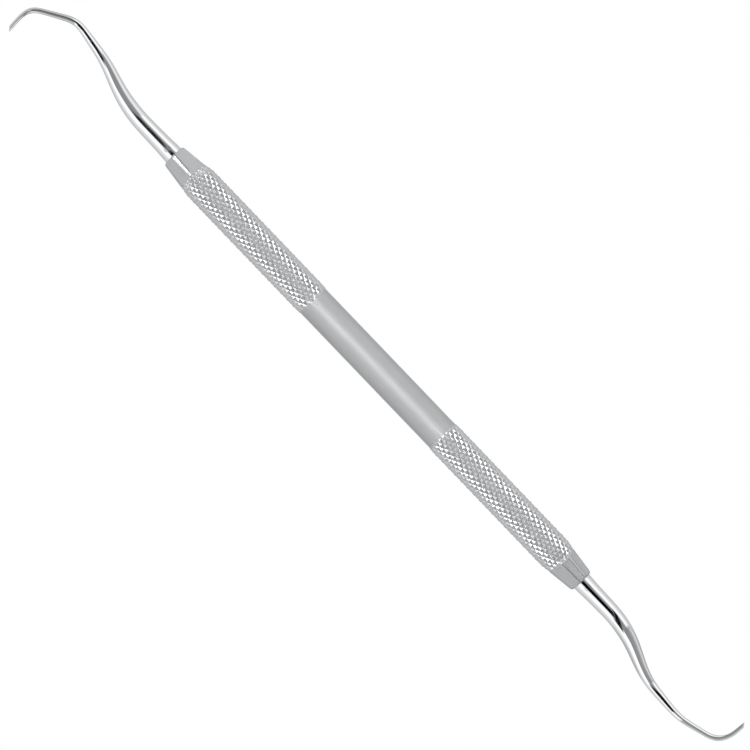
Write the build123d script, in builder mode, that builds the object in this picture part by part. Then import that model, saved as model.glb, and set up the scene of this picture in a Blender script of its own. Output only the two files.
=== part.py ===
from build123d import *
import os
from math import cos, radians, sin, sqrt, tan
from typing import NamedTuple

# A double-ended periodontal hand scaler, in millimetres. A hollow stainless handle is
# knurled in two zones and swaged at both ends onto the tangs of two forged curette tips.
# +X runs along the handle and +Z is up as the scaler lies. The origin is the centre of
# the smooth grip, on the handle's axis.

# Handle, outside
handle_length = 101.6
grip_length = 32.1  # the smooth middle between the two knurled zones
grip_diameter = 6.0
knurl_height = 0.175  # how far the knurl's points stand above the smooth grip
knurl_chamfer = 0.15  # along the axis, where a knurled zone meets the grip
plain_end_length = 4.95  # from the end face to the first knurl points
taper_angle = 7.4  # half angle of the swaged cone
taper_blend = 12.0  # radius that eases the barrel into the cone
end_corner = 0.6  # radius round the end face

# Handle, inside
tube_wall = 0.7
bore_cone_length = 3.0  # where the swaged bore opens out to the tube's own bore

# Crimp flats, pressed into each cone to lock the tang
crimp_count = 8
crimp_depth = 0.12  # at the end face; the flats follow the cone's slope
crimp_die_width = 3.0  # the face of the tool that presses a flat
crimp_die_height = 1.0
crimp_start_angles = {"left": 22.5, "right": 14.5}  # first flat, from +Z towards +Y

# Tang and its bush
tang_diameter = 3.2
tang_chamfer = 0.3
tang_overrun = 0.5  # how far the tang stands through its bush
end_wall = 0.75  # the swaged tube round the tang at the end face
bush_length = 5.0
bush_gap = 0.5  # from the end of the bore's cone to the bush
bush_chamfer = 0.2

# Shank and blade, the same forging at both ends
shank_shoulder = 0.2  # the step of the shank that seats on the end face
flare_length = 2.4
flare_end_diameter = 3.3
shank_taper = (  # distance along the centre line from the end face, diameter
    (8.0, 3.08),
    (11.0, 2.96),
    (16.0, 2.42),
    (22.0, 1.76),
    (28.0, 1.27),
    (34.0, 0.98),
)
blade_length = 4.8
blade_width = 1.0
blade_heel_thickness = 0.78
blade_toe_thickness = 0.62
heel_length = 2.2  # where the round shank turns into the blade's half-round section
face_crown = 0.06  # what is left of the round side on the blade's face, as a share
toe_length = 0.75  # where the back curves up to meet the face
toe_blunt = 0.3  # the width left at the very toe, as a share
section_pitch = 1.0  # between the sections that shape the shank
toe_sections = 4

knurl_diameter = grip_diameter + 2 * knurl_height
end_diameter = tang_diameter + 2 * end_wall
taper_length = (knurl_diameter - end_diameter) / 2 / tan(radians(taper_angle))
tube_bore = grip_diameter - 2 * tube_wall
bush_start = plain_end_length + bore_cone_length + bush_gap
bush_wall = (tube_bore - tang_diameter) / 2
tang_length = bush_start + bush_length + tang_overrun
half_length = handle_length / 2


class Tip(NamedTuple):
    """One bent tip: the corners of its centre line and the radius of each bend.

    Corners are measured outward from the handle's end face along the axis, then
    in +Y and +Z. side is +1 on the handle's +X end and -1 on its -X end.
    """

    name: str
    side: int
    corners: tuple
    radii: tuple


left = Tip(
    name="left",
    side=-1,
    corners=(
        (0, 0, 0),
        (11.5, 0, 0),
        (19.9, 2.75, 1.7),
        (28.1, 3.98, 1.8),
        (35.33, -0.35, 2.4),
        (35.36, -3.4, 1.75),
        (35.22, -5.7, 1.2),
    ),
    radii=(23.0, 16.0, 4.6, 3.0, 6.0),
)
right = Tip(
    name="right",
    side=1,
    corners=(
        (0, 0, 0),
        (10.9, 0, 0),
        (20.1, -3.68, -1.7),
        (28.75, -4.2, -1.44),
        (37.3, -1.9, -2.55),
        (37.62, 3.45, -2.6),
    ),
    radii=(20.0, 15.0, 12.0, 4.0),
)
tips = (left, right)


def end_plane(side):
    """The plane of an end face, with its normal pointing out of the handle."""
    return Plane(origin=(side * half_length, 0, 0), x_dir=(0, 0, 1), z_dir=(side, 0, 0))


def between(table, distance):
    """The value at a distance along a table of (distance, value) rows."""
    for (start, first), (stop, last) in zip(table, table[1:]):
        if distance <= stop:
            return first + (last - first) * (distance - start) / (stop - start)
    return table[-1][1]


def tip_section(distance, length):
    """The half width, the back's and the face's height and the chord's offset of a section."""
    root = (0.0, tang_diameter + 2 * shank_shoulder)
    diameter = between((root, (flare_length, flare_end_diameter), *shank_taper), distance)
    heel = length - blade_length
    formed = min(1.0, max(0.0, (distance - heel + heel_length / 2) / heel_length))
    along = max(0.0, (distance - heel) / blade_length)
    blade_thickness = blade_heel_thickness + (blade_toe_thickness - blade_heel_thickness) * along
    thickness = diameter + (blade_thickness - diameter) * formed
    width = diameter + (blade_width - diameter) * formed
    face = thickness / 2 * (1 + (face_crown - 1) * formed)
    back = thickness - face
    chord = thickness / 2 - back
    toe = max(0.0, (distance - length + toe_length) / toe_length)
    shrink = sqrt(1 - (1 - toe_blunt**2) * toe**2)
    return width / 2 * shrink, back * shrink, face, chord


# Handle tube: one revolved shell, then the crimp flats
with BuildPart() as handle_tube:
    grip_radius = grip_diameter / 2
    knurl_radius = knurl_diameter / 2
    knurl_start = grip_length / 2
    taper_start = half_length - taper_length
    crimp_inner = half_length - plain_end_length
    with BuildSketch(Plane.XZ) as shell:
        with BuildLine():
            Polyline(
                (0, tube_bore / 2),
                (0, grip_radius),
                (knurl_start, grip_radius),
                (knurl_start + knurl_chamfer, knurl_radius),
                (taper_start, knurl_radius),
                (half_length, end_diameter / 2),
                (half_length, tang_diameter / 2),
                (crimp_inner, tang_diameter / 2),
                (crimp_inner - bore_cone_length, tube_bore / 2),
                close=True,
            )
        make_face()
        outer_corners = shell.vertices().group_by(Axis.Y)[-1].sort_by(Axis.X)
        fillet(outer_corners[-1], radius=taper_blend)
        fillet(shell.vertices().group_by(Axis.X)[-1].sort_by(Axis.Y)[-1], radius=end_corner)
        mirror(about=Plane.YZ)
    revolve(axis=Axis.X)
    slope = radians(taper_angle)
    flat_radius = end_diameter / 2 - crimp_depth
    for tip in tips:
        along = Vector(tip.side, 0, 0)
        for index in range(crimp_count):
            turn = radians(crimp_start_angles[tip.name] + 360 / crimp_count * index)
            outward = Vector(0, sin(turn), cos(turn))
            flat_plane = Plane(
                origin=along * half_length + outward * flat_radius,
                x_dir=along * cos(slope) - outward * sin(slope),
                z_dir=outward * cos(slope) + along * sin(slope),
            )
            with BuildSketch(flat_plane):
                Rectangle(4 * taper_length, crimp_die_width)
            extrude(amount=crimp_die_height, mode=Mode.SUBTRACT)

os.makedirs("parts", exist_ok=True)
handle_tube.part.label = "handle_tube"
export_step(handle_tube.part, "parts/handle_tube.step")

# Tips: a straight tang inside the handle, then the bent shank and the blade
for tip in tips:
    with BuildPart() as tip_part:
        with BuildLine() as centre_line:
            FilletPolyline(
                *((tip.side * (half_length + x), y, z) for x, y, z in tip.corners),
                radius=tip.radii,
            )
        path = centre_line.wire()
        count = round((path.length - toe_length) / section_pitch)
        stations = [(path.length - toe_length) * step / count for step in range(count + 1)]
        stations += [
            path.length - toe_length * (1 - step / toe_sections)
            for step in range(1, toe_sections + 1)
        ]
        for distance in stations:
            half_width, back, face, chord = tip_section(distance, path.length)
            tangent = path.tangent_at(distance, position_mode=PositionMode.LENGTH)
            width_way = Vector(0, 0, 1) - tangent * tangent.Z
            section_plane = Plane(
                origin=path.position_at(distance, position_mode=PositionMode.LENGTH),
                x_dir=width_way,
                z_dir=tangent,
            )
            with BuildSketch(section_plane):
                with BuildLine():
                    ThreePointArc((-half_width, chord), (0, chord + back), (half_width, chord))
                    ThreePointArc((half_width, chord), (0, chord - face), (-half_width, chord))
                make_face()
        loft()
        with BuildSketch(end_plane(tip.side)):
            Circle(tang_diameter / 2)
        extrude(amount=-tang_length)
        tang_end = tip_part.edges().sort_by(Axis.X)[0 if tip.side > 0 else -1]
        chamfer(tang_end, length=tang_chamfer)
    tip_part.part.label = f"{tip.name}_tip"
    export_step(tip_part.part, f"parts/{tip.name}_tip.step")

# Tang bushes: one in each end of the tube's bore, round the tang's inner end
for tip in tips:
    with BuildPart() as bush:
        with BuildSketch(end_plane(tip.side).offset(-bush_start)):
            Circle(tube_bore / 2)
            Circle(tang_diameter / 2, mode=Mode.SUBTRACT)
        extrude(amount=-bush_length)
        outer_edges = bush.edges().filter_by(GeomType.CIRCLE).group_by(SortBy.RADIUS)[-1]
        chamfer(outer_edges, length=min(bush_chamfer, bush_wall / 2))
    bush.part.label = f"{tip.name}_tang_bush"
    export_step(bush.part, f"parts/{tip.name}_tang_bush.step")
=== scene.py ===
"""Studio scene of a double-ended hand scaler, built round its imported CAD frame.

The handle is one swaged and crimped tube whose knurl is raised by Geometry Nodes. Each
tip is one forging: a tang inside the handle, a bent shank and a curette blade. Lengths
are in millimetres until a mesh is written, and in metres in Blender.
"""

import logging
import math
from dataclasses import dataclass, field
from enum import Enum
from functools import partial

import bmesh
import bpy
import numpy as np
from bpy.types import Material, Node, NodeOutputs, NodeSocket, NodeTree, Object
from mathutils import Matrix, Vector


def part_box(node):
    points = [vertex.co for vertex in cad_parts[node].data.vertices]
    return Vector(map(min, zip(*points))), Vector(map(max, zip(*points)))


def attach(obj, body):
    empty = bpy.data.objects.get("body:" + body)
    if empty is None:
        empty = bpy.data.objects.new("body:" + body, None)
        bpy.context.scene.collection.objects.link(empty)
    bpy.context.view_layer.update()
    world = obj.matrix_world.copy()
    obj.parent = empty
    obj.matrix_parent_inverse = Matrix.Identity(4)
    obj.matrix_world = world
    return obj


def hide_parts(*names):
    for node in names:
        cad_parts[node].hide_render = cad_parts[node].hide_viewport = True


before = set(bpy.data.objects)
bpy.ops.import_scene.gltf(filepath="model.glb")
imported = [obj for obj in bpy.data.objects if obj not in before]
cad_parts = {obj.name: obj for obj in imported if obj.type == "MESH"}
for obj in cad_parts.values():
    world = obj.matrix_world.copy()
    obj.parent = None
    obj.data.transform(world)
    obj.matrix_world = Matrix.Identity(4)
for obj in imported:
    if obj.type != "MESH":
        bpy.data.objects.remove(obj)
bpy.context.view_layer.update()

Rows = tuple[tuple[float, float], ...]  # a table with two numbers in each row

MM = 0.001
PAINTED_SHADE_LINE = "painted_shade_line"  # the handle's attribute: how dark the painted shade line beside a ridge is
GRIP_HALF_LENGTH = 16.05
TAPER_ANGLE = 7.4  # half angle of the swaged cones, in degrees
END_RADIUS = 2.35  # of the cone where it would meet the end face
TANG_RADIUS = 1.6
SAME_POINT = 1e-9  # vertices this close are one, in metres
TENT_FOOT = ((89, 1.05), (107, 0.9), (125, 0.8), (145, 0.7), (168, 0.6))
log = logging.getLogger("hand_scaler")


class End(Enum):
    """The two ends of the handle, by the side of the grip that they lie on."""

    LEFT = -1
    RIGHT = 1


# ---- nodes and meshes ----


def add_node(tree: NodeTree, kind: str, inputs: dict | None = None, **settings: object) -> Node:
    """Adds one node to a tree, with its settings and links.

    Args:
        tree: The tree that takes the node.
        kind: The node's type, such as "ShaderNodeMath".
        inputs: Input name or number to a value, or to the socket that feeds it.
        settings: The node's own properties.

    Returns:
        The new node.
    """
    node = tree.nodes.new(kind)
    for name, value in settings.items():
        setattr(node, name, value)
    for key, value in (inputs or {}).items():
        if isinstance(value, NodeSocket):
            tree.links.new(value, node.inputs[key])
        else:
            node.inputs[key].default_value = value
    return node


def math_node(tree: NodeTree, operation: str, *values: object) -> NodeSocket:
    """Adds one Math node on numbers or sockets and returns its result."""
    return add_node(tree, "ShaderNodeMath", dict(enumerate(values)), operation=operation).outputs[0]


def ranged(
    tree: NodeTree,
    value: NodeSocket,
    low: object,
    high: object,
    first: float = 0.0,
    last: float = 1.0,
    eased: bool = False,
) -> NodeSocket:
    """Adds a Map Range node.

    Args:
        tree: The tree that takes the node.
        value: The socket that is mapped.
        low: The value, or its socket, that gives first.
        high: The value, or its socket, that gives last.
        first: The result at low and below.
        last: The result at high and above.
        eased: Whether the change is eased at both ends.

    Returns:
        The result's socket.
    """
    inputs = {"Value": value, "From Min": low, "From Max": high, "To Min": first, "To Max": last}
    kind = "SMOOTHSTEP" if eased else "LINEAR"
    return add_node(tree, "ShaderNodeMapRange", inputs, interpolation_type=kind).outputs["Result"]


def parted(tree: NodeTree, vector: NodeSocket) -> NodeOutputs:
    """Adds a Separate XYZ node and returns its outputs, X, Y and Z."""
    return add_node(tree, "ShaderNodeSeparateXYZ", {0: vector}).outputs


def length_of(tree: NodeTree, vector: NodeSocket) -> NodeSocket:
    """Adds a Vector Math node that measures a vector."""
    return add_node(tree, "ShaderNodeVectorMath", {0: vector}, operation="LENGTH").outputs["Value"]


def noise_of(tree: NodeTree, place: NodeSocket, size_mm: float, detail: float) -> NodeSocket:
    """Adds a Noise Texture node with its scale given as a size in millimetres."""
    inputs = {"Vector": place, "Scale": 1 / (size_mm * MM), "Detail": detail}
    return add_node(tree, "ShaderNodeTexNoise", inputs).outputs["Fac"]


def blended(tree: NodeTree, share: NodeSocket, first: object, second: object) -> NodeSocket:
    """Adds a colour Mix node, from first at a share of 0 to second at 1."""
    inputs = {0: share, 6: first, 7: second}
    return add_node(tree, "ShaderNodeMix", inputs, data_type="RGBA").outputs[2]


def linear(hex_colour: str) -> tuple[float, float, float, float]:
    """Turns an sRGB hex colour into a linear one.

    Args:
        hex_colour: Six hex digits, such as "b8b8b4".

    Returns:
        Red, green, blue and an alpha of 1.
    """
    shares = [int(hex_colour[i : i + 2], 16) / 255 for i in (0, 2, 4)]
    r, g, b = (s / 12.92 if s <= 0.04045 else ((s + 0.055) / 1.055) ** 2.4 for s in shares)
    return r, g, b, 1.0


def mesh_object(name: str, points: np.ndarray, faces: list[tuple[int, ...]]) -> Object:
    """Makes a smooth-shaded mesh object from points in millimetres.

    Args:
        name: The piece's name.
        points: One row of x, y and z for each vertex.
        faces: Vertex numbers, anticlockwise seen from outside.

    Returns:
        The object, linked to the scene.
    """
    mesh = bpy.data.meshes.new(name)
    mesh.from_pydata((points * MM).tolist(), [], faces)
    mesh.polygons.foreach_set("use_smooth", [True] * len(mesh.polygons))
    mesh.validate()
    mesh.update()
    piece = bpy.data.objects.new(name, mesh)
    bpy.context.scene.collection.objects.link(piece)
    return piece


def settle_normals(piece: Object) -> None:
    """Turns a closed mesh's faces outward.

    Args:
        piece: The object whose mesh is corrected.
    """
    work = bmesh.new()
    work.from_mesh(piece.data)
    bmesh.ops.remove_doubles(work, verts=work.verts, dist=SAME_POINT)
    bmesh.ops.recalc_face_normals(work, faces=work.faces)
    work.to_mesh(piece.data)
    work.free()


def grid_faces(rows: int, columns: int, closed: bool = False) -> list[tuple[int, ...]]:
    """Joins rows of vertices with quads.

    Args:
        rows: How many rows there are.
        columns: How many vertices each row has.
        closed: Whether each row runs all the way round.

    Returns:
        The vertex numbers of each face.
    """
    faces = []
    for low in range(0, (rows - 1) * columns, columns):
        high = low + columns
        for i in range(columns if closed else columns - 1):
            k = (i + 1) % columns
            faces.append((low + i, low + k, high + k, high + i))
    return faces


def round_row(x: float, radii: float | np.ndarray, angles: np.ndarray) -> np.ndarray:
    """The points round the X axis at one x, with angles from +Z towards +Y."""
    return np.stack([np.full(len(angles), x), radii * np.sin(angles), radii * np.cos(angles)], 1)


def level_sheet(name: str, middle: float, half: tuple[float, float], z: float) -> Object:
    """Makes a level rectangle over the X axis.

    Args:
        name: The sheet's name.
        middle: Its middle along X.
        half: Half its size along X and along Y.
        z: Its height.

    Returns:
        The sheet.
    """
    corners = ((-1, -1), (1, -1), (1, 1), (-1, 1))
    points = np.array([(middle + i * half[0], j * half[1], z) for i, j in corners])
    return mesh_object(name, points, [(0, 1, 2, 3)])


def smooth_step(low: float, high: float, value: np.ndarray) -> np.ndarray:
    """Eases from 0 at low and below to 1 at high and above."""
    share = np.clip((value - low) / (high - low), 0.0, 1.0)
    return share * share * (3 - 2 * share)


# ---- finishes ----


@dataclass(frozen=True)
class Metal:
    """A new metal's material, its shader and its coordinates, ready for a finish's nodes."""

    made: Material
    shader: Node
    place: NodeSocket

    @classmethod
    def named(cls, name: str) -> "Metal":
        """Makes a metal's material.

        Args:
            name: The material's name.

        Returns:
            The material with its shader set to metal.
        """
        made = bpy.data.materials.new(name)
        made.use_nodes = True
        shader = made.node_tree.nodes["Principled BSDF"]
        shader.inputs["Metallic"].default_value = 1.0
        place = add_node(made.node_tree, "ShaderNodeTexCoord").outputs["Object"]
        return cls(made, shader, place)

    def emboss(self, height: NodeSocket, depth_mm: float) -> None:
        """Raises the surface.

        Args:
            height: The height's share, from 0 to 1.
            depth_mm: How far the surface rises from 0 to 1.
        """
        inputs = {"Height": height, "Distance": depth_mm * MM}
        bump = add_node(self.made.node_tree, "ShaderNodeBump", inputs)
        self.made.node_tree.links.new(bump.outputs["Normal"], self.shader.inputs["Normal"])


@dataclass(frozen=True)
class SatinStainless:
    """Austenitic stainless tube, glass-bead blasted: an even, soft grey with a faint grain.

    The blasting turns the mirror of bare steel into a broad, dull highlight. Handling
    burnishes the knurl's points a little and the ridges beside the end faces more. The knurl
    zone's lighter colour is partly that burnish and partly a painted sheen, and a dark line
    of painted shade lies beside a few of the ridges.
    """

    slot: str = "satin_stainless"
    colour: str = "b3b4b6"
    dull_colour: str = "adaeb0"
    # the knurl zone's colour: lighter partly for the burnish of handling and partly as a painted
    # sheen
    knurl_burnish_and_sheen_colour: str = "b8b9bb"
    # painted shade: the colour of the dark line beside a few of the ridges
    painted_shade_colour: str = "6c6d6f"
    roughness: float = 0.58
    knurl_roughness: float = 0.49
    ridge_roughness: float = 0.38
    grain_mm: float = 0.09  # bead dimples, about twice their real size so that they show
    grain_height_mm: float = 0.004
    mottle_mm: float = 2.5
    knurl_start_mm: float = GRIP_HALF_LENGTH
    knurl_end_mm: float = 45.7
    knurl_fade_mm: float = 0.4
    cone_end_mm: float = 50.8
    cone_end_radius_mm: float = END_RADIUS
    taper_angle: float = TAPER_ANGLE
    ridge_depth_mm: float = 0.04  # how far below the cone a ridge still counts as one

    def material(self) -> Material:
        """Builds the blasted finish.

        Returns:
            The material.
        """
        metal = Metal.named("stainless_bead_blasted")
        tree, shader, place = metal.made.node_tree, metal.shader, metal.place
        math_of = partial(math_node, tree)
        mottle = noise_of(tree, place, self.mottle_mm, detail=3.0)
        tint = blended(tree, mottle, linear(self.colour), linear(self.dull_colour))
        xyz = parted(tree, place)
        away = math_of("ABSOLUTE", xyz["X"])
        across = add_node(tree, "ShaderNodeCombineXYZ", {"Y": xyz["Y"], "Z": xyz["Z"]})
        radius = length_of(tree, across.outputs[0])
        # the ridges between the crimp flats still stand at the cone's own radius
        slope = math.tan(math.radians(self.taper_angle))
        from_end = math_of("SUBTRACT", away, self.cone_end_mm * MM)
        level = math_of("MULTIPLY_ADD", from_end, slope, radius)
        cone = self.cone_end_radius_mm * MM
        depth = self.ridge_depth_mm * MM
        ridge = ranged(tree, level, cone - depth, cone - depth / 2)
        knurl_end = self.knurl_end_mm * MM
        plain = ranged(tree, away, knurl_end, knurl_end + self.knurl_fade_mm * MM)
        entered = math_of("GREATER_THAN", away, self.knurl_start_mm * MM)
        knurled = math_of("SUBTRACT", entered, plain)
        # the knurl zone is lighter: partly burnish, partly a painted sheen
        burnished_and_sheened = blended(tree, knurled, tint, linear(self.knurl_burnish_and_sheen_colour))
        # painted shade: a dark line beside a few of the ridges, where shade falls
        line = add_node(tree, "ShaderNodeAttribute", attribute_name=PAINTED_SHADE_LINE).outputs["Fac"]
        with_painted_shade = blended(tree, line, burnished_and_sheened, linear(self.painted_shade_colour))
        tree.links.new(with_painted_shade, shader.inputs["Base Color"])
        bright = math_of("MULTIPLY", ridge, plain)
        rough = ranged(tree, knurled, 0.0, 1.0, self.roughness, self.knurl_roughness)
        burnish = self.ridge_roughness - self.roughness
        rough = math_of("MULTIPLY_ADD", bright, burnish, rough)
        tree.links.new(rough, shader.inputs["Roughness"])
        grain = noise_of(tree, place, self.grain_mm, detail=2.0)
        metal.emboss(grain, self.grain_height_mm)
        return metal.made


@dataclass(frozen=True)
class MirrorStainless:
    """Hardened martensitic stainless, forged, ground and polished: a near mirror.

    The wheel leaves hairlines along the shank that only soften the reflections a little.
    """

    slot: str = "polished_stainless"
    colour: str = "d3d4d6"
    roughness: float = 0.05
    hairline_roughness: float = 0.11
    hairline_mm: float = 0.06
    hairline_length_mm: float = 3.0
    hairline_height_mm: float = 0.00015
    hairline_noise: tuple[float, float] = (0.35, 0.7)  # the noise that stands for a hairline

    def material(self) -> Material:
        """Builds the polished finish.

        Returns:
            The material.
        """
        metal = Metal.named("stainless_mirror_polished")
        tree, shader, place = metal.made.node_tree, metal.shader, metal.place
        squeeze = (self.hairline_mm / self.hairline_length_mm, 1.0, 1.0)
        stretched = add_node(tree, "ShaderNodeMapping", {"Vector": place, "Scale": squeeze})
        noise = noise_of(tree, stretched.outputs["Vector"], self.hairline_mm, detail=2.0)
        rough = ranged(tree, noise, *self.hairline_noise, self.roughness, self.hairline_roughness)
        tree.links.new(rough, shader.inputs["Roughness"])
        metal.emboss(noise, self.hairline_height_mm)
        shader.inputs["Base Color"].default_value = linear(self.colour)
        return metal.made


@dataclass(frozen=True)
class TurnedStainless:
    """Free-cutting stainless as it leaves the lathe: fine rings round the bush."""

    slot: str = "turned_stainless"
    colour: str = "a7a8aa"
    roughness: float = 0.3
    feed_mm: float = 0.15  # the tool's advance in one turn
    ring_height_mm: float = 0.003

    def material(self) -> Material:
        """Builds the turned finish.

        Returns:
            The material.
        """
        metal = Metal.named("stainless_as_turned")
        scale = 1 / (self.feed_mm * MM) / (2 * math.pi)
        rings = add_node(
            metal.made.node_tree,
            "ShaderNodeTexWave",
            {"Vector": metal.place, "Scale": scale, "Distortion": 0.0},
            bands_direction="X",
        )
        metal.emboss(rings.outputs["Fac"], self.ring_height_mm)
        metal.shader.inputs["Base Color"].default_value = linear(self.colour)
        metal.shader.inputs["Roughness"].default_value = self.roughness
        return metal.made


# ---- handle ----


@dataclass(frozen=True)
class Flat:
    """One crimp flat, from one ridge angle to the next, in degrees from +Z towards +Y."""

    start: float
    stop: float
    line: float = 0.0  # how dark the painted shade line beside its start is, from 0 to 1
    widening: float = 0.0  # degrees that each side gains in a millimetre from the end


@dataclass
class Handle:
    """The hollow handle: swaged cones, crimp flats, two knurled zones and a smooth grip."""

    half_length: float
    knurl_radius: float
    grip_radius: float = 3.0
    grip_half_length: float = GRIP_HALF_LENGTH
    plain_end: float = 4.95
    taper_angle: float = TAPER_ANGLE
    taper_blend: float = 1.6  # how far along the axis the barrel eases into the cone
    end_radius: float = END_RADIUS
    end_corner: float = 0.6
    tang_radius: float = TANG_RADIUS
    bore_radius: float = 2.3
    bore_cone: float = 3.0
    bore_rows: tuple[float, float] = (8.0, 22.0)  # rows past the cone that keep faces short
    face_inset: float = 0.05  # the row that keeps the end face's inner edge crisp
    starts: int = 20
    axial_pitch: float = 1.55
    cells: int = 8  # mesh cells across one knurl pitch
    crest_flat: float = 0.2  # the share of a pyramid's height that is cut off
    valley_depth: float = 0.06  # how far the grooves are pressed below the grip's surface
    ramp: float = 0.6  # where the knurl rises from the grip
    knurl_entry: float = 0.5  # where its grooves run out beside the grip
    flat_hollow: float = 0.04  # how far a die's crown sinks the middle of a flat
    flat_crown_power: int = 4  # how sharply that hollow ends at the flat's edges
    flat_runout: tuple[float, float] = (4.05, 6.45)  # where a flat dies out, from the end
    painted_shade_width: float = 3.0  # half the width of the painted shade line, in degrees
    painted_shade_runout: tuple[float, float] = (3.2, 4.6)  # where that painted shade line dies out, from the end
    knurl_fade: float = 0.6  # where the knurl dies out towards the cone
    knurl_overrun: float = 0.25  # how far it may run past the plain end's start
    facet_overrun: float = 0.5  # how far its flat-shaded facets run
    rows_overrun: float = 0.6  # how far its fine rows run
    grip_inset: float = 0.02  # from the smooth grip's last row to the knurl
    grip_rows: int = 12
    cone_rows: int = 17
    rim_rows: int = 15
    corner_rows: int = 6
    rim_length: float = 1.0  # the finer rows beside the end's rounded corner
    cone_reach: float = 4.0  # where the knurl's floor follows the cone
    bore_clearance: float = 0.1  # keeps the knurl's cut off the bore's own rows
    left_flats: tuple[Flat, ...] = (
        Flat(3, 60, line=1.0, widening=1.1),
        Flat(64, 112),
        Flat(116, 160),
        Flat(164, 210),
        Flat(214, 254),
        Flat(256, 299),
        Flat(301, 346, widening=1.1),
    )
    right_flats: tuple[Flat, ...] = (
        Flat(-8, 22, line=0.6),
        Flat(30, 60, line=0.6),
        Flat(63, 108),
        Flat(112, 156),
        Flat(160, 204),
        Flat(208, 252),
        Flat(256, 300),
        Flat(304, 348),
    )

    @property
    def slope(self) -> float:
        """How much the cone's radius gains in a millimetre from the end."""
        return math.tan(math.radians(self.taper_angle))

    def crest(self, x: np.ndarray) -> np.ndarray:
        """The radius over the knurl's points, or of the plain surface.

        Args:
            x: Places along the handle.

        Returns:
            One radius for each place.
        """
        away = np.abs(x)
        cone = self.end_radius + (self.half_length - away) * self.slope
        gap = cone - self.knurl_radius
        blend = self.taper_blend * self.slope
        eased = np.where(
            np.abs(gap) < blend,
            self.knurl_radius - (blend - gap) ** 2 / (4 * blend),
            np.minimum(cone, self.knurl_radius),
        )
        rise = (away - self.grip_half_length) / self.ramp
        height = self.knurl_radius - self.grip_radius
        ramped = self.grip_radius + height * np.clip(rise, 0, 1)
        return np.minimum(eased, ramped)

    def outer_rows(self) -> list[tuple[float, float]]:
        """Places the outer profile's rows from the grip's middle to the +X end face.

        Returns:
            The x and the radius of each row.
        """
        step = self.axial_pitch / self.cells
        knurl_first = math.ceil(self.grip_half_length / step)
        plain_start = self.half_length - self.plain_end
        knurl_last = math.ceil((plain_start + self.rows_overrun) / step)
        grip = list(np.linspace(0, self.grip_half_length - self.grip_inset, self.grip_rows))
        knurl = [step * n for n in range(knurl_first, knurl_last + 1)]
        corner_start = self.half_length - self.end_corner
        near_end = corner_start - self.rim_length
        cone = list(np.linspace(knurl[-1], near_end, self.cone_rows))[1:]
        rim = list(np.linspace(near_end, corner_start, self.rim_rows))[1:]
        xs = np.array(grip + knurl + cone + rim)
        rows = list(zip(xs, self.crest(xs)))
        turn_radius = float(self.crest(np.array([corner_start]))[0]) - self.end_corner
        for angle in np.linspace(0, math.pi / 2, self.corner_rows)[1:]:
            x = corner_start + self.end_corner * math.sin(angle)
            rows.append((x, turn_radius + self.end_corner * math.cos(angle)))
        return rows

    def inner_rows(self) -> list[tuple[float, float]]:
        """Places the bore's rows from the +X end face to the grip's middle.

        Returns:
            The x and the radius of each row.
        """
        crimp_end = self.half_length - self.plain_end
        bore_start = crimp_end - self.bore_cone
        return [
            (self.half_length, self.tang_radius + self.face_inset),
            (self.half_length, self.tang_radius),
            (crimp_end, self.tang_radius),
            (bore_start, self.bore_radius),
            *((bore_start - reach, self.bore_radius) for reach in self.bore_rows),
            (0.0, self.bore_radius),
        ]

    def flattened(self, x: float, radius: float, angles: np.ndarray) -> np.ndarray:
        """The radius round one row once the crimping dies have pressed their flats.

        Args:
            x: The row's place along the handle.
            radius: The row's radius before crimping.
            angles: The angle of each vertex in the row, in radians.

        Returns:
            One radius for each angle.
        """
        pressed = np.full(len(angles), radius)
        from_end = self.half_length - abs(x)
        starts_out, runs_out = self.flat_runout
        if from_end > runs_out:
            return pressed
        left = 1 - smooth_step(starts_out, runs_out, np.array(from_end))
        cone = self.end_radius + from_end * self.slope
        for flat in self.left_flats if x < 0 else self.right_flats:
            middle = math.radians((flat.start + flat.stop) / 2)
            half = math.radians((flat.stop - flat.start) / 2 + flat.widening * from_end)
            off = (angles - middle + math.pi) % (2 * math.pi) - math.pi
            inside = np.abs(off) < half
            share = np.clip(off / half, -1, 1) ** self.flat_crown_power
            chord = cone * math.cos(half) / np.cos(np.where(inside, off, 0))
            depth = np.maximum(radius - chord + self.flat_hollow * (1 - share), 0)
            pressed = np.minimum(pressed, np.where(inside, radius - depth * left, radius))
        return pressed

    def painted_shade_round(self, x: float, angles: np.ndarray) -> np.ndarray:
        """How dark the painted shade lines beside the ridges are round one row.

        Args:
            x: The row's place along the handle.
            angles: The angle of each vertex in the row, in radians.

        Returns:
            One share for each angle, from 0 to 1.
        """
        from_end = self.half_length - abs(x)
        line = np.zeros(len(angles))
        for flat in self.left_flats if x < 0 else self.right_flats:
            middle = flat.start - flat.widening * from_end + self.painted_shade_width
            off = (np.degrees(angles) - middle + 180) % 360 - 180
            line = np.maximum(line, flat.line * (1 - np.abs(off) / self.painted_shade_width))
        return line * (1 - smooth_step(*self.painted_shade_runout, np.array(from_end)))

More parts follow.
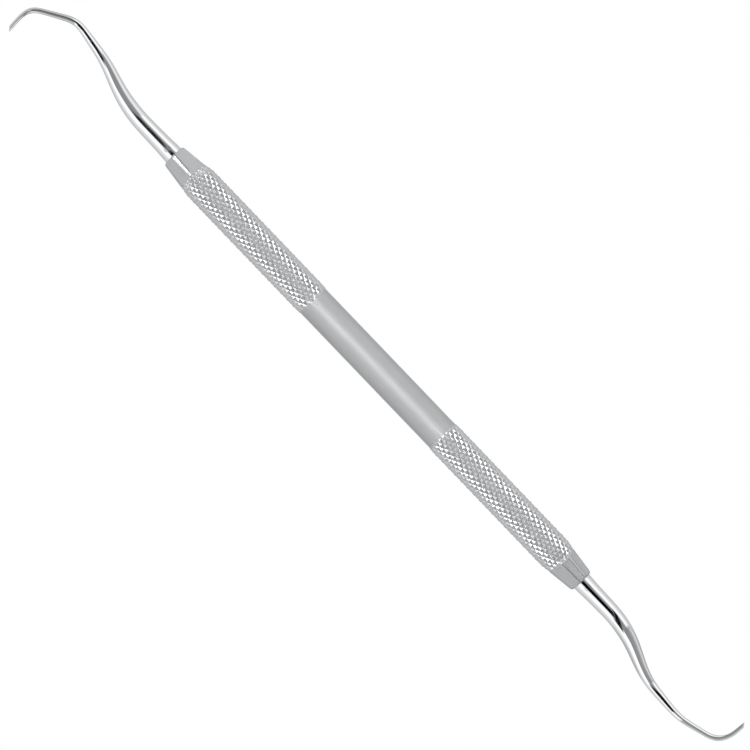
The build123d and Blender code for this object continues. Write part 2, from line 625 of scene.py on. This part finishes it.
    def base_mesh(self) -> Object:
        """Builds the closed tube with plain zones where the knurl will stand.

        Returns:
            The tube, with the painted shade lines as an attribute.
        """
        half = self.outer_rows()
        bore = self.inner_rows()
        outer = [(-x, r) for x, r in reversed(half[1:])] + half
        inner = bore + [(-x, r) for x, r in reversed(bore[:-1])]
        columns = self.starts * self.cells
        angles = np.arange(columns) * 2 * math.pi / columns
        rows, painted_shade_rows = [], []
        for number, (x, radius) in enumerate(outer + inner):
            radii, line = np.full(columns, radius), np.zeros(columns)
            if number < len(outer):
                radii = self.flattened(x, radius, angles)
                # painted shade beside the ridges, kept for each vertex
                line = self.painted_shade_round(x, angles)
            painted_shade_rows.append(line)
            rows.append(round_row(x, radii, angles))
        faces = []
        step = self.axial_pitch / self.cells
        knurl_end = self.half_length - self.plain_end + self.facet_overrun
        for row in range(len(rows)):
            below, above = row * columns, (row + 1) % len(rows) * columns
            x = (rows[row][0, 0] + rows[(row + 1) % len(rows)][0, 0]) / 2
            j = math.floor(x / step)
            knurled = row < len(outer) and self.grip_half_length < abs(x) < knurl_end
            for i in range(columns):
                k = (i + 1) % columns
                a, b, c, d = below + i, above + i, above + k, below + k
                if not knurled:
                    faces.append((a, b, c, d))
                    continue
                rising = abs((i - j) / self.cells - round((i - j) / self.cells))
                falling = (i + j + 1) / self.cells
                falling = abs(falling - round(falling))
                if rising < falling:
                    faces += [(a, b, c), (a, c, d)]
                else:
                    faces += [(a, b, d), (b, c, d)]
        piece = mesh_object("knurled_handle", np.concatenate(rows), faces)
        for face in piece.data.polygons:
            face.use_smooth = len(face.vertices) == 4
        painted_shade_attribute = piece.data.attributes.new(PAINTED_SHADE_LINE, "FLOAT", "POINT")
        painted_shade_attribute.data.foreach_set("value", np.concatenate(painted_shade_rows))
        return piece

    def knurl_sizes(self) -> dict[str, float]:
        """Works out what the knurl tree's inputs are set to.

        Returns:
            Each input's name and its value, in metres, counts and shares.
        """
        return {
            "Starts": float(self.starts),
            "Axial Pitch": self.axial_pitch * MM,
            "Knurl Radius": self.knurl_radius * MM,
            "Valley Radius": (self.grip_radius - self.valley_depth) * MM,
            "Bore Radius": (self.bore_radius + self.bore_clearance) * MM,
            "Knurl Start": self.grip_half_length * MM,
            "Entry": self.knurl_entry * MM,
            "Knurl End": (self.half_length - self.plain_end + self.knurl_overrun) * MM,
            "Fade": self.knurl_fade * MM,
            "Cone Reach": self.cone_reach * MM,
            "Crest Flat": self.crest_flat,
        }

    def knurl_tree(self, finish: Material) -> NodeTree:
        """Builds the Geometry Nodes tree that cuts the diamond knurl into the plain zones.

        Args:
            finish: The material set on the result.

        Returns:
            The tree, with its sizes as named inputs in metres.
        """
        tree = bpy.data.node_groups.new("diamond_knurl", "GeometryNodeTree")
        tree.is_modifier = True
        tree.interface.new_socket("Geometry", in_out="INPUT", socket_type="NodeSocketGeometry")
        for name in self.knurl_sizes():
            tree.interface.new_socket(name, in_out="INPUT", socket_type="NodeSocketFloat")
        tree.interface.new_socket("Geometry", in_out="OUTPUT", socket_type="NodeSocketGeometry")
        given = add_node(tree, "NodeGroupInput").outputs

        math_of = partial(math_node, tree)
        place = add_node(tree, "GeometryNodeInputPosition").outputs[0]
        xyz = parted(tree, place)
        across = add_node(tree, "ShaderNodeCombineXYZ", {"Y": xyz["Y"], "Z": xyz["Z"]}).outputs[0]
        radial = add_node(tree, "ShaderNodeVectorMath", {0: across}, operation="NORMALIZE")
        radius = length_of(tree, across)
        turn = math_of("DIVIDE", math_of("ARCTAN2", xyz["Y"], xyz["Z"]), 2 * math.pi)
        around = math_of("MULTIPLY", turn, given["Starts"])
        along = math_of("DIVIDE", xyz["X"], given["Axial Pitch"])
        slopes = []
        for operation in ("ADD", "SUBTRACT"):
            thread = math_of(operation, around, along)
            slopes.append(math_of("MULTIPLY", math_of("PINGPONG", thread, 0.5), 2.0))
        pyramid = math_of("MINIMUM", *slopes)
        crest = math_of("SUBTRACT", 1.0, given["Crest Flat"])
        height = math_of("MINIMUM", math_of("DIVIDE", pyramid, crest), 1.0)
        relief = math_of("SUBTRACT", given["Knurl Radius"], given["Valley Radius"])
        depth = math_of("MULTIPLY", math_of("SUBTRACT", 1.0, height), relief)
        away = math_of("ABSOLUTE", xyz["X"])
        fade_start = math_of("SUBTRACT", given["Knurl End"], given["Fade"])
        fade = ranged(tree, away, fade_start, given["Knurl End"], 1.0, 0.0)
        into = math_of("SUBTRACT", away, given["Knurl Start"])
        entry = ranged(tree, into, 0.0, given["Entry"])
        sunk = math_of("MULTIPLY", math_of("MULTIPLY", depth, fade), entry)
        room = math_of("SUBTRACT", radius, given["Valley Radius"])
        cone_start = math_of("SUBTRACT", given["Knurl End"], given["Cone Reach"])
        near_cone = math_of("GREATER_THAN", away, cone_start)
        room = math_of("MAXIMUM", room, math_of("MULTIPLY", near_cone, relief))
        cut = math_of("MULTIPLY", math_of("MINIMUM", sunk, room), -1.0)
        in_zone = math_of("GREATER_THAN", away, given["Knurl Start"])
        outside = math_of("GREATER_THAN", radius, given["Bore Radius"])
        inward = {0: radial.outputs["Vector"], "Scale": cut}
        offset = add_node(tree, "ShaderNodeVectorMath", inward, operation="SCALE")
        chosen = math_of("MULTIPLY", in_zone, outside)
        shape = given["Geometry"]
        for kind, inputs in (
            ("SetPosition", {"Selection": chosen, "Offset": offset.outputs["Vector"]}),
            ("RealizeInstances", {}),
            ("SetMaterial", {"Material": finish}),
        ):
            node = add_node(tree, f"GeometryNode{kind}", {"Geometry": shape, **inputs})
            shape = node.outputs["Geometry"]
        add_node(tree, "NodeGroupOutput", {"Geometry": shape})
        return tree

    def build(self, finish: Material) -> Object:
        """Builds the handle and cuts its knurl.

        Args:
            finish: The blasted steel.

        Returns:
            The finished piece, a plain mesh.
        """
        piece = self.base_mesh()
        tree = self.knurl_tree(finish)
        sizes = self.knurl_sizes()
        modifier = piece.modifiers.new("knurl", "NODES")
        modifier.node_group = tree
        for item in tree.interface.items_tree:
            if item.in_out == "INPUT" and item.name in sizes:
                modifier[item.identifier] = sizes[item.name]
        return plain_mesh(piece)


def plain_mesh(piece: Object) -> Object:
    """Swaps a piece's mesh for its evaluated one and removes its modifiers.

    Args:
        piece: The object to settle.

    Returns:
        The same object.
    """
    view = bpy.context.evaluated_depsgraph_get()
    made = bpy.data.meshes.new_from_object(piece.evaluated_get(view), depsgraph=view)
    piece.modifiers.clear()
    piece.data = made
    return piece


# ---- tips ----


@dataclass
class Centreline:
    """A bent wire's centre line: straight runs joined by arcs, eased as a hand bend is."""

    corners: tuple[tuple[float, float, float], ...]
    radii: tuple[float, ...]
    pitch: float = 0.05
    easing: float = 0.7
    arc_steps: int = 24  # points on each bend
    shortest: float = 1e-6  # steps below this are doubles
    easing_reach: float = 3.0  # the easing's width, in its own standard deviations
    points: np.ndarray = field(init=False)
    distance: np.ndarray = field(init=False)

    def __post_init__(self) -> None:
        """Works out the eased line at an even pitch."""
        corners = np.array(self.corners, float)
        line = [corners[0]]
        for before, corner, after, radius in zip(corners, corners[1:], corners[2:], self.radii):
            arriving = (corner - before) / np.linalg.norm(corner - before)
            leaving = (after - corner) / np.linalg.norm(after - corner)
            turn = math.acos(float(arriving @ leaving))
            reach = radius * math.tan(turn / 2)
            start = corner - arriving * reach
            inward = leaving - arriving * math.cos(turn)
            inward /= np.linalg.norm(inward)
            for share in np.linspace(0, 1, self.arc_steps):
                swept = turn * share
                ahead = arriving * radius * math.sin(swept)
                line.append(start + ahead + inward * radius * (1 - math.cos(swept)))
        line.append(corners[-1])
        rough = np.array(line)
        lengths = np.linalg.norm(np.diff(rough, axis=0), axis=1)
        longer = lengths > self.shortest
        rough, lengths = rough[np.concatenate([[True], longer])], lengths[longer]
        along = np.concatenate([[0], np.cumsum(lengths)])
        count = round(along[-1] / self.pitch)
        even = np.linspace(0, along[-1], count + 1)
        wide = round(self.easing_reach * self.easing / self.pitch)
        reach = np.arange(-wide, wide + 1) * self.pitch
        weights = np.exp(-(reach**2) / (2 * self.easing**2))
        weights /= weights.sum()
        eased = []
        for axis in range(3):
            values = np.interp(even, along, rough[:, axis])
            first = 2 * values[0] - values[wide:0:-1]
            last = 2 * values[-1] - values[-2 : -wide - 2 : -1]
            eased.append(np.convolve(np.concatenate([first, values, last]), weights, "valid"))
        self.points = np.stack(eased, 1)
        steps = np.linalg.norm(np.diff(self.points, axis=0), axis=1)
        self.distance = np.concatenate([[0], np.cumsum(steps)])

    @property
    def length(self) -> float:
        """The line's whole length."""
        return float(self.distance[-1])

    def place(self, at: float) -> tuple[np.ndarray, np.ndarray]:
        """The point and the unit direction at a distance along the line.

        Args:
            at: The distance from the start, which may be before it.

        Returns:
            The point and the direction.
        """
        if at <= 0:
            return self.points[0] + np.array([at, 0, 0]), np.array([1.0, 0, 0])
        slopes = np.gradient(self.points, self.distance, axis=0)
        point = [np.interp(at, self.distance, self.points[:, n]) for n in range(3)]
        way = np.array([np.interp(at, self.distance, slopes[:, n]) for n in range(3)])
        return np.array(point), way / np.linalg.norm(way)


@dataclass
class Tip:
    """One forged tip: the tang in the handle, the bent shank and the curette blade."""

    end: End
    name: str
    centreline: Centreline
    half_length: float
    tang_length: float
    tang_radius: float = TANG_RADIUS
    tang_chamfer: float = 0.3
    diameters: Rows = (
        (0.0, 3.6),
        (2.4, 3.3),
        (8.0, 3.08),
        (11.0, 2.96),
        (16.0, 2.42),
        (22.0, 1.76),
        (28.0, 1.27),
        (34.0, 0.98),
    )
    taper_easing: float = 1.2
    taper_samples: int = 9
    blade_length: float = 4.8
    blade_width: float = 1.0
    heel_thickness: float = 0.78
    toe_thickness: float = 0.62
    heel_length: float = 2.2
    face_crown: float = 0.06
    toe_length: float = 0.75
    around: int = 56
    root_rows: tuple[float, ...] = (0.0, 0.08, 0.16)
    shank_rows: tuple[float, float] = (0.3, 0.2)  # the first and the pitch
    toe_rows: int = 15
    crease_angle: float = 35.0  # edges that turn more than this stay crisp

    @property
    def angles(self) -> np.ndarray:
        """The angles of a section's points, in radians."""
        return np.arange(self.around) * 2 * math.pi / self.around

    def diameter(self, at: np.ndarray) -> np.ndarray:
        """The round shank's diameter, with the taper's corners eased.

        Args:
            at: Distances from the handle's end face.

        Returns:
            One diameter for each distance.
        """
        stations, sizes = zip(*self.diameters)
        offsets = np.linspace(-1, 1, self.taper_samples) * self.taper_easing
        values = [np.interp(np.abs(at + offset), stations, sizes) for offset in offsets]
        return np.mean(values, axis=0)

    def ring(self, at: float) -> np.ndarray:
        """One section of the shank or blade.

        Args:
            at: The distance from the handle's end face.

        Returns:
            The section's points, in the tip's own frame with x outward.
        """
        length = self.centreline.length
        heel = length - self.blade_length
        diameter = float(self.diameter(np.array([at]))[0])
        formed = float(smooth_step(0, 1, np.array((at - heel) / self.heel_length + 0.5)))
        along = max(0.0, (at - heel) / self.blade_length)
        blade = self.heel_thickness + (self.toe_thickness - self.heel_thickness) * along
        thickness = diameter + (blade - diameter) * formed
        width = diameter + (self.blade_width - diameter) * formed
        face = thickness / 2 * (1 + (self.face_crown - 1) * formed)
        back = thickness - face
        chord = thickness / 2 - back
        toe = min(1.0, max(0.0, (at - length + self.toe_length) / self.toe_length))
        shrink = math.sqrt(max(0.0, 1 - toe**2))
        point, way = self.centreline.place(at)
        wide = np.array([0, 0, 1.0]) - way * way[2]
        wide /= np.linalg.norm(wide)
        backward = np.cross(way, wide) * self.end.value
        across = width / 2 * shrink * np.cos(self.angles)
        height = np.where(np.sin(self.angles) >= 0, back * (1 - toe), face * shrink)
        rise = chord + height * np.sin(self.angles)
        return point + np.outer(across, wide) + np.outer(rise, backward)

    def stations(self) -> np.ndarray:
        """Places the shank's sections, closer together towards the toe.

        Returns:
            Their distances from the handle's end face.
        """
        length = self.centreline.length
        toe_start = length - self.toe_length
        first, pitch = self.shank_rows
        shank = np.arange(first, toe_start, pitch)
        turns = np.linspace(0, math.pi / 2, self.toe_rows)[:-1]
        toe = toe_start + self.toe_length * np.sin(turns)
        return np.concatenate([self.root_rows, shank, toe])

    def build(self, finish: Material) -> Object:
        """Builds the tip as one closed mesh.

        Args:
            finish: The polished steel.

        Returns:
            The finished piece.
        """
        tang = (
            (-self.tang_length, self.tang_radius - self.tang_chamfer),
            (-self.tang_length + self.tang_chamfer, self.tang_radius),
            (-self.tang_length / 2, self.tang_radius),
            (0.0, self.tang_radius),
        )
        rings = [round_row(x, radius, -self.end.value * self.angles) for x, radius in tang]
        rings += [self.ring(float(at)) for at in self.stations()]
        first = np.array([-self.tang_length, 0, 0])
        tail = self.ring(self.centreline.length).mean(0)
        points = np.concatenate([*rings, [first, tail]])
        points[:, 0] = self.end.value * (self.half_length + points[:, 0])
        faces = grid_faces(len(rings), self.around, closed=True)
        pole = len(rings) * self.around
        top = pole - self.around
        for i in range(self.around):
            k = (i + 1) % self.around
            faces.append((pole, k, i))
            faces.append((pole + 1, top + i, top + k))
        piece = mesh_object(self.name, points, faces)
        settle_normals(piece)
        piece.data.set_sharp_from_angle(angle=math.radians(self.crease_angle))
        piece.data.materials.append(finish)
        return piece


# ---- studio ----


def glowing(sheet: Object, name: str) -> NodeTree:
    """Makes a sheet glow, unseen by the camera and casting no shadow.

    Args:
        sheet: The sheet.
        name: The name of its material.

    Returns:
        The material's tree, whose Emission node takes the brightness.
    """
    made = bpy.data.materials.new(name)
    made.use_nodes = True
    tree = made.node_tree
    tree.nodes.clear()
    glow = add_node(tree, "ShaderNodeEmission", {"Color": (1, 1, 1, 1)}, name="Emission")
    add_node(tree, "ShaderNodeOutputMaterial", {"Surface": glow.outputs[0]})
    sheet.data.materials.append(made)
    sheet.visible_camera = False
    sheet.visible_shadow = False
    return tree


@dataclass(frozen=True)
class Card:
    """A level card over one tip, which draws a dark line or keeps the strip light off it."""

    name: str
    level: float  # its brightness inside the rim
    middle: float  # along the handle
    height: float
    half: tuple[float, float]
    fade: tuple[float, float]  # the rim's width along X and along Y


@dataclass
class Studio:
    """A white light tent with a gap for the camera overhead, a pale floor and a camera."""

    floor_z: float
    frame_width: float = 129.3
    lens: float = 200.0
    sensor: float = 36.0
    clip: tuple[float, float] = (0.01, 50.0)  # the camera's range, in metres
    centre: tuple[float, float] = (0.5, -1.12)
    roll: float = 46.23  # the handle's slope in the view, down to the right
    floor_size: float = 4000.0
    grey: float = 0.38  # the room's own brightness
    tent_radius: float = 250.0
    tent_half_length: float = 182.0
    tent_fade: float = 15.0
    tent_middle: tuple[float, float] = (58.0, 70.0)  # from its own levels to the ends' levels
    shade_tilt: float = 5.5  # the dark gap seen by the left tip, from the zenith towards -X
    shade_reach: tuple[float, float] = (5.0, 19.0)  # along X and Y, in degrees
    shade_rim: tuple[float, float] = (0.8, 1.2)  # its soft rim, as shares of that reach
    shade_level: float = 0.03  # the share of the room's brightness that is left in it
    shade_one_side: float = 9.0  # any number past the rim, which keeps it overhead only
    horizon: float = 0.75  # how much brighter the room is at the horizon than overhead
    strip_tilt: tuple[float, float] = (16.0, 40.0)  # degrees from the zenith towards -X
    strip_half_width: float = 6.5
    strip_level: float = 31.0
    strip_edge: float = 0.05  # the strip's soft edge, as a share of a unit sphere
    cards: tuple[Card, ...] = (
        Card("right_near_card", 0.0, 86.0, 228.0, (26.0, 78.0), (7.0, 14.0)),
        Card("right_far_card", 0.0, 101.0, 180.0, (11.0, 146.0), (3.0, 20.0)),
        Card("left_far_card", 0.0, -107.0, 180.0, (17.0, 146.0), (3.0, 20.0)),
        Card("grey_card", 0.3, -122.0, 60.0, (24.0, 24.0), (3.0, 3.0)),
    )
    # brightness by angle from the zenith: the ends on the +Y and the -Y side, then the middle
    upper_ends: Rows = (
        *((19, 0.34), (32, 0.45), (42, 1.0), (52, 1.6), (66, 1.6), (74, 1.3)),
        *TENT_FOOT,
    )
    lower_ends: Rows = ((19, 0.7), (27, 1.6), (56, 1.6), (66, 1.3), (75, 1.15), *TENT_FOOT)
    middle: Rows = ((19, 0.37), (40, 0.45), (52, 0.85), (62, 1.35), (74, 1.25), *TENT_FOOT)
    lower_share: float = 0.76  # of the middle's brightness that the -Y side gives
    sheet_rows: int = 40
    sheet_columns: int = 9

    def camera(self) -> None:
        """Looks straight down on the scaler."""
        data = bpy.data.cameras.new("camera")
        data.lens, data.sensor_width = self.lens, self.sensor
        camera = bpy.data.objects.new("camera", data)
        bpy.context.scene.collection.objects.link(camera)
        distance = self.frame_width * self.lens / self.sensor
        angle = math.radians(self.roll)
        right = Vector((math.cos(angle), math.sin(angle), 0))
        up = Vector((-math.sin(angle), math.cos(angle), 0))
        back = Vector((0, 0, 1))
        turned = Matrix((right, up, back)).transposed().to_4x4()
        place = Vector((*self.centre, distance)) * MM
        camera.matrix_world = Matrix.Translation(place) @ turned
        data.clip_start, data.clip_end = self.clip
        bpy.context.scene.camera = camera

    def floor(self) -> None:
        """A pale sheet that the scaler lies on."""
        half = self.floor_size / 2
        sheet = level_sheet("floor", 0.0, (half, half), self.floor_z)
        glowing(sheet, "paper_matt_white")
        sheet.visible_camera = True
        sheet.visible_glossy = False
        sheet.visible_diffuse = False

    def softbox(self, name: str, side: int, ends: Rows, dimmed: float) -> None:
        """One curved sheet of the light tent, along the handle.

        Args:
            name: The sheet's name.
            side: 1 for the +Y side and -1 for the -Y side.
            ends: Angle from the zenith in degrees and brightness, in rows, near its ends.
            dimmed: The share of the middle's brightness that this sheet gives.
        """
        angles = np.radians(np.linspace(ends[0][0], ends[-1][0], self.sheet_rows))
        places = np.linspace(-self.tent_half_length, self.tent_half_length, self.sheet_columns)
        radius = self.tent_radius
        points = [
            (x, side * radius * math.sin(a), radius * math.cos(a)) for a in angles for x in places
        ]
        sheet = mesh_object(name, np.array(points), grid_faces(len(angles), len(places)))
        tree = glowing(sheet, f"{name}_diffuser")
        math_of = partial(math_node, tree)
        xyz = parted(tree, add_node(tree, "ShaderNodeTexCoord").outputs["Object"])
        away = math_of("ABSOLUTE", xyz["Y"])
        share = math_of("DIVIDE", math_of("ARCTAN2", away, xyz["Z"]), math.pi)
        at_ends = self.level(tree, share, ends)
        at_middle = math_of("MULTIPLY", self.level(tree, share, self.middle), dimmed)
        along = math_of("ABSOLUTE", xyz["X"])
        low, high = (reach * MM for reach in self.tent_middle)
        outer = ranged(tree, along, low, high, eased=True)
        more = math_of("SUBTRACT", at_ends, at_middle)
        power = math_of("MULTIPLY_ADD", more, outer, at_middle)
        edge = self.tent_half_length
        left = ranged(tree, along, (edge - self.tent_fade) * MM, edge * MM, 1.0, self.grey)
        power = math_of("MULTIPLY", power, left)
        tree.links.new(power, tree.nodes["Emission"].inputs["Strength"])

    def level(self, tree: NodeTree, share: NodeSocket, levels: Rows) -> NodeSocket:
        """Adds a ramp of brightness by angle.

        Args:
            tree: The tree that takes the nodes.
            share: The angle from the zenith as a share of a half turn.
            levels: Angle in degrees and brightness, in rows.

        Returns:
            The brightness.
        """
        ramp = add_node(tree, "ShaderNodeValToRGB", {"Fac": share})
        stops = ramp.color_ramp.elements
        while len(stops) > 1:
            stops.remove(stops[-1])
        peak = max(level for _, level in levels)
        for number, (degrees, level) in enumerate(levels):
            stop = stops[0] if number == 0 else stops.new(degrees / 180)
            stop.position = degrees / 180
            stop.color = (level / peak, level / peak, level / peak, 1)
        return math_node(tree, "MULTIPLY", ramp.outputs["Color"], peak)

    def card(self, card: Card) -> None:
        """Hangs one card over a tip, its rim faded to the room's own grey.

        Args:
            card: The card's size, place and brightness.
        """
        sheet = level_sheet(card.name, card.middle, card.half, card.height)
        tree = glowing(sheet, f"{card.name}_matt")
        math_of = partial(math_node, tree)
        xyz = parted(tree, add_node(tree, "ShaderNodeTexCoord").outputs["Object"])
        from_middle = math_of("SUBTRACT", xyz["X"], card.middle * MM)
        rims = []
        for offset, half, fade in zip((from_middle, xyz["Y"]), card.half, card.fade):
            away = math_of("ABSOLUTE", offset)
            start, stop = (half - fade) * MM, half * MM
            rims.append(ranged(tree, away, start, stop, card.level, self.grey, eased=True))
        power = math_of("MAXIMUM", *rims)
        tree.links.new(power, tree.nodes["Emission"].inputs["Strength"])

    def room(self) -> None:
        """The grey room round the tent, the dark gap overhead and one strip light."""
        world = bpy.data.worlds.new("room")
        bpy.context.scene.world = world
        world.use_nodes = True
        tree = world.node_tree
        tree.nodes.clear()
        math_of = partial(math_node, tree)
        xyz = parted(tree, add_node(tree, "ShaderNodeTexCoord").outputs["Generated"])
        shifted = math_of("ADD", xyz["X"], math.sin(math.radians(self.shade_tilt)))
        wide_x, wide_y = (math.sin(math.radians(a)) for a in self.shade_reach)
        below = math_of("LESS_THAN", xyz["Z"], 0.0)
        parts = {
            "X": math_of("DIVIDE", shifted, wide_x),
            "Y": math_of("DIVIDE", xyz["Y"], wide_y),
            "Z": math_of("MULTIPLY", below, self.shade_one_side),
        }
        oval = add_node(tree, "ShaderNodeCombineXYZ", parts)
        reach = length_of(tree, oval.outputs[0])
        lit = ranged(tree, reach, *self.shade_rim, self.shade_level, 1.0, eased=True)
        across = math_of("ABSOLUTE", xyz["Y"])
        low = math_of("SUBTRACT", 1.0, math_of("ABSOLUTE", xyz["Z"]))
        glow_low = math_of("MULTIPLY", math_of("MULTIPLY", low, low), self.horizon)
        grey = math_of("MULTIPLY", math_of("ADD", glow_low, self.grey), lit)
        near, far, half = (
            math.sin(math.radians(a)) for a in (*self.strip_tilt, self.strip_half_width)
        )
        soft = self.strip_edge
        back = math_of("MULTIPLY", xyz["X"], -1.0)
        inside = math_of(
            "MULTIPLY",
            ranged(tree, back, near - soft, near + soft, eased=True),
            ranged(tree, back, far - soft, far + soft, 1.0, 0.0, eased=True),
        )
        narrow = ranged(tree, across, half - soft, half + soft, 1.0, 0.0, eased=True)
        above = math_of("GREATER_THAN", xyz["Z"], 0.0)
        strip = math_of("MULTIPLY", math_of("MULTIPLY", inside, narrow), above)
        level = math_of("MULTIPLY_ADD", strip, self.strip_level, grey)
        glow = add_node(tree, "ShaderNodeBackground", {"Strength": level, "Color": (1, 1, 1, 1)})
        add_node(tree, "ShaderNodeOutputWorld", {"Surface": glow.outputs[0]})

    def build(self) -> None:
        """Sets up the whole studio."""
        self.camera()
        self.floor()
        self.softbox("left_softbox", 1, self.upper_ends, 1.0)
        self.softbox("right_softbox", -1, self.lower_ends, self.lower_share)
        for card in self.cards:
            self.card(card)
        self.room()
        bpy.context.scene.view_settings.view_transform = "Standard"


# ---- assembly ----


def main() -> None:
    """Builds every piece in order and hands it to the frame."""
    logging.basicConfig(level=logging.INFO, format="%(name)s: %(message)s")
    low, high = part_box("handle_tube")
    half_length, knurl_radius = high.x / MM, high.z / MM
    tang_low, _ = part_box("right_tip")
    tang_length = half_length - tang_low.x / MM
    Studio(floor_z=-knurl_radius).build()
    satin, mirror, turned = SatinStainless(), MirrorStainless(), TurnedStainless()
    polished = mirror.material()
    handle = Handle(half_length=half_length, knurl_radius=knurl_radius)
    made = [(handle.build(satin.material()), "handle_tube", satin.slot)]
    left_line = Centreline(
        corners=(
            (0, 0, 0),
            (11.5, 0, 0),
            (19.9, 2.75, 1.7),
            (28.1, 3.98, 1.8),
            (35.33, -0.35, 2.4),
            (35.36, -3.4, 1.75),
            (35.22, -5.7, 1.2),
        ),
        radii=(23.0, 16.0, 4.6, 3.0, 6.0),
    )
    right_line = Centreline(
        corners=(
            (0, 0, 0),
            (10.9, 0, 0),
            (20.1, -3.68, -1.7),
            (28.75, -4.2, -1.44),
            (37.3, -1.9, -2.55),
            (37.62, 3.45, -2.6),
        ),
        radii=(20.0, 15.0, 12.0, 4.0),
    )
    for end, line in ((End.LEFT, left_line), (End.RIGHT, right_line)):
        node = f"{end.name.lower()}_tip"
        tip = Tip(end, f"{node}_forging", line, half_length, tang_length)
        made.append((tip.build(polished), node, mirror.slot))
    for piece, node, slot in made:
        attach(piece, "root")
        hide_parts(node)
        log.info("%s: %d faces, stands for %s", piece.name, len(piece.data.polygons), node)
    lathe = turned.material()
    for node in ("left_tang_bush", "right_tang_bush"):
        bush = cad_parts[node]
        for dress in bush.material_slots:
            dress.material = lathe
        log.info("%s: the CAD mesh, dressed", node)


if __name__ == "__main__":
    main()
